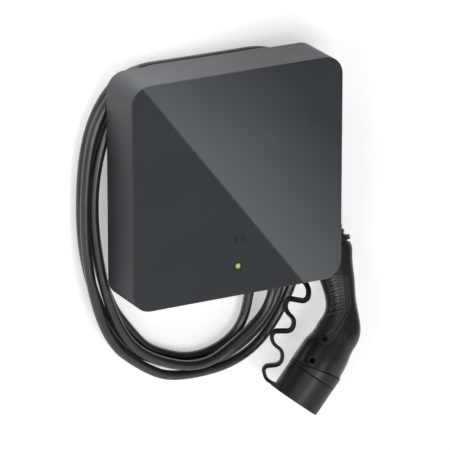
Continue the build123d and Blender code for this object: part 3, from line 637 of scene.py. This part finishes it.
# charging cable: one curve from the gland through nearly four turns to the plug
cable = {
    "radius": 0.0065,
    "steps": 10,  # along the curve, between two of its points
    "roundness": 6,
    "order": 3,
    "leadIn": [
        (0.068, -0.024, -0.066), (0.068, -0.024, -0.145), (0.070, -0.024, -0.177), (0.056, -0.020, -0.245),
    ],
    "tail": [
        (0.124, -0.0366, 0.127), (0.147, -0.031, 0.098), (0.163, -0.020, 0.050), (0.171, -0.016, -0.010),
        (0.178, -0.016, -0.066), (0.18275, -0.03766, -0.1127),
    ],
    "innerLoop": [
        (-0.009, -0.272), (-0.073, -0.248), (-0.099, -0.222), (-0.144, -0.158), (-0.169, -0.016),
        (-0.141, 0.090), (-0.096, 0.127), (-0.035, 0.127), (0.020, 0.127), (0.080, 0.127),
        (0.117, 0.085), (0.128, 0.022), (0.098, -0.154), (0.092, -0.208), (0.045, -0.245),
    ],
    "outerLoop": [
        (-0.046, -0.287), (-0.096, -0.260), (-0.148, -0.213), (-0.177, -0.100), (-0.175, 0.027),
        (-0.152, 0.101), (-0.108, 0.141), (-0.035, 0.140), (0.035, 0.140), (0.092, 0.140),
        (0.130, 0.112), (0.148, 0.051), (0.149, -0.129), (0.120, -0.219), (0.060, -0.283),
    ],
    # which of a turn's ten places each point of a loop takes
    "places": (0, 1, 2, 3, 4, 4, 4, 4, 4, 4, 5, 6, 7, 8, 9),
    # for each turn and place: share of the way out to the outer loop, and distance from the wall
    "turns": [
        (
            (0, 0.0168), (0, 0.0168), (0, 0.0200), (0, 0.0234), (0, 0.0234),
            (0, 0.0234), (0, 0.0300), (0, 0.0366), (0, 0.0366), (0, 0.0400),
        ),
        (
            (0.1, 0.0434), (0.32, 0.0434), (0.48, 0.0410), (0.26, 0.0380), (0, 0.0366),
            (0.5, 0.0366), (0.62, 0.0300), (0.52, 0.0234), (0.5, 0.0234), (0.48, 0.0260),
        ),
        (
            (0.32, 0.0301), (0.42, 0.0301), (0.74, 0.0270), (0.96, 0.0234), (1, 0.0234),
            (1, 0.0234), (1, 0.0234), (1, 0.0234), (1, 0.0234), (1, 0.0234),
        ),
        ((1, 0.0300), (1, 0.0340), (1, 0.0366), (1, 0.0366), (1, 0.0366)),
    ],
    "exit": (0.068, -0.024, -0.088),
    "length": 4.77,
}


def coilPoints():
    points = []
    for turn in cable["turns"]:
        for near, far, place in zip(cable["innerLoop"], cable["outerLoop"], cable["places"]):
            if place >= len(turn):
                break
            share, distance = turn[place]
            x, z = Vector(near).lerp(Vector(far), share)
            points.append((x, -distance, z))
    return points


def makeCable(strap):
    route = cable["leadIn"] + coilPoints() + cable["tail"]
    curve = bpy.data.curves.new("charging_cable", "CURVE")
    curve.dimensions = "3D"
    curve.resolution_u = cable["steps"]
    curve.bevel_depth = cable["radius"]
    curve.bevel_resolution = cable["roundness"]
    curve.use_fill_caps = True
    spline = curve.splines.new("NURBS")
    spline.points.add(len(route) - 1)
    for point, place in zip(spline.points, route):
        point.co = (*place, 1)
    spline.order_u = cable["order"]
    spline.use_endpoint_u = True
    curve.materials.append(finishes["cableRubber"])
    piece = bpy.data.objects.new("charging_cable", curve)
    scene.collection.objects.link(piece)
    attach(piece, "wallbox")
    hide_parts("charging_cable_coil", "charging_cable_lead_in", "charging_cable_tail")


makeCable(makeStrap())
print("strap and cable wound")


# wall behind the box, and a floor well below it
backdrop = {
    "wall": 0.0006,
    "floor": -0.75,
    "reach": 3.0,
    "colour": (0.90, 0.90, 0.91),
    "roughness": 0.9,
    "glow": 0.40,
}


def backdropMesh():
    mesh = bmesh.new()
    reach = backdrop["reach"]
    bmesh.ops.create_grid(mesh, x_segments=1, y_segments=1, size=reach)
    bmesh.ops.rotate(mesh, verts=mesh.verts, matrix=Matrix.Rotation(math.radians(90), 3, "X"))
    bmesh.ops.translate(mesh, verts=mesh.verts, vec=(0, backdrop["wall"], backdrop["floor"] + reach))
    foot = [edge for edge in mesh.edges if all(vert.co.z < 0 for vert in edge.verts)]
    grown = bmesh.ops.extrude_edge_only(mesh, edges=foot)
    corners = [part for part in grown["geom"] if isinstance(part, bmesh.types.BMVert)]
    bmesh.ops.translate(mesh, verts=corners, vec=(0, -2 * reach, 0))
    mesh.normal_update()
    # the wall faces the room and the floor faces up
    turned = [face for face in mesh.faces if face.normal.y > 0.5 or face.normal.z < -0.5]
    bmesh.ops.reverse_faces(mesh, faces=turned)
    data = bpy.data.meshes.new("backdrop")
    mesh.to_mesh(data)
    mesh.free()
    return data


def backdropPaint():
    material = newMaterial("backdrop")
    tree, shader = openMaterial(material)
    shader.inputs["Base Color"].default_value = (*backdrop["colour"], 1)
    shader.inputs["Roughness"].default_value = backdrop["roughness"]
    shader.inputs["Specular IOR Level"].default_value = 0
    path = tree.nodes.new("ShaderNodeLightPath")
    geometry = tree.nodes.new("ShaderNodeNewGeometry")
    glow = tree.nodes.new("ShaderNodeEmission")
    lit = tree.nodes.new("ShaderNodeAddShader")
    clear = tree.nodes.new("ShaderNodeBsdfTransparent")
    seen = tree.nodes.new("ShaderNodeMixShader")
    # the glow is seen straight or in a reflection, and lights nothing else
    looked = path.outputs["Is Camera Ray"]
    for other in ("Is Glossy Ray", "Is Transmission Ray"):
        looked = reckon(tree, "MAXIMUM", looked, path.outputs[other])
    tree.links.new(reckon(tree, "MULTIPLY", looked, backdrop["glow"]), glow.inputs["Strength"])
    tree.links.new(shader.outputs[0], lit.inputs[0])
    tree.links.new(glow.outputs[0], lit.inputs[1])
    # from behind, the wall lets the object be seen and lit
    hidden = reckon(tree, "MAXIMUM", geometry.outputs["Backfacing"], path.outputs["Is Shadow Ray"])
    tree.links.new(hidden, seen.inputs[0])
    tree.links.new(lit.outputs[0], seen.inputs[1])
    tree.links.new(clear.outputs[0], seen.inputs[2])
    tree.links.new(seen.outputs[0], tree.nodes["Material Output"].inputs["Surface"])
    return material


def makeBackdrop():
    data = backdropMesh()
    data.materials.append(backdropPaint())
    piece = bpy.data.objects.new("backdrop", data)
    scene.collection.objects.link(piece)


makeBackdrop()
print("backdrop placed")

# lamps: each is (place, size, watts)
lamps = {
    "key": ((-2.9, -2.9, 0.5), 1.2, 31),
    "rim": ((-2.2, -2.2, 2.0), 0.7, 4),
    "fill": ((-0.6, -3.5, -0.2), 1.4, 41),
    "top": ((-0.15, -0.07, 0.37), 0.12, 0.75),
    "behind": ((0.2, 3.2, 0.1), 2.0, 45),
}
# light from all round, and a white background where the camera looks past the backdrop
surroundings = {"tint": (0.95, 0.97, 1.0), "strength": 0.22}


def makeLamps():
    for name, (place, size, watts) in lamps.items():
        data = bpy.data.lights.new(name, "AREA")
        data.size = size
        data.energy = watts
        lamp = bpy.data.objects.new(name, data)
        lamp.location = place
        lamp.rotation_euler = (view["aim"] - Vector(place)).to_track_quat("-Z", "Y").to_euler()
        scene.collection.objects.link(lamp)


def makeWorld():
    world = bpy.data.worlds.new("studio")
    world.use_nodes = True
    scene.world = world
    tree = world.node_tree
    light = tree.nodes["Background"]
    light.inputs["Color"].default_value = (*surroundings["tint"], 1)
    light.inputs["Strength"].default_value = surroundings["strength"]
    white = tree.nodes.new("ShaderNodeBackground")
    white.inputs["Color"].default_value = (1, 1, 1, 1)
    mix = tree.nodes.new("ShaderNodeMixShader")
    path = tree.nodes.new("ShaderNodeLightPath")
    tree.links.new(path.outputs["Is Camera Ray"], mix.inputs[0])
    tree.links.new(light.outputs[0], mix.inputs[1])
    tree.links.new(white.outputs[0], mix.inputs[2])
    tree.links.new(mix.outputs[0], tree.nodes["World Output"].inputs["Surface"])


makeLamps()
makeWorld()
scene.view_settings.view_transform = "Standard"
print("studio lit")
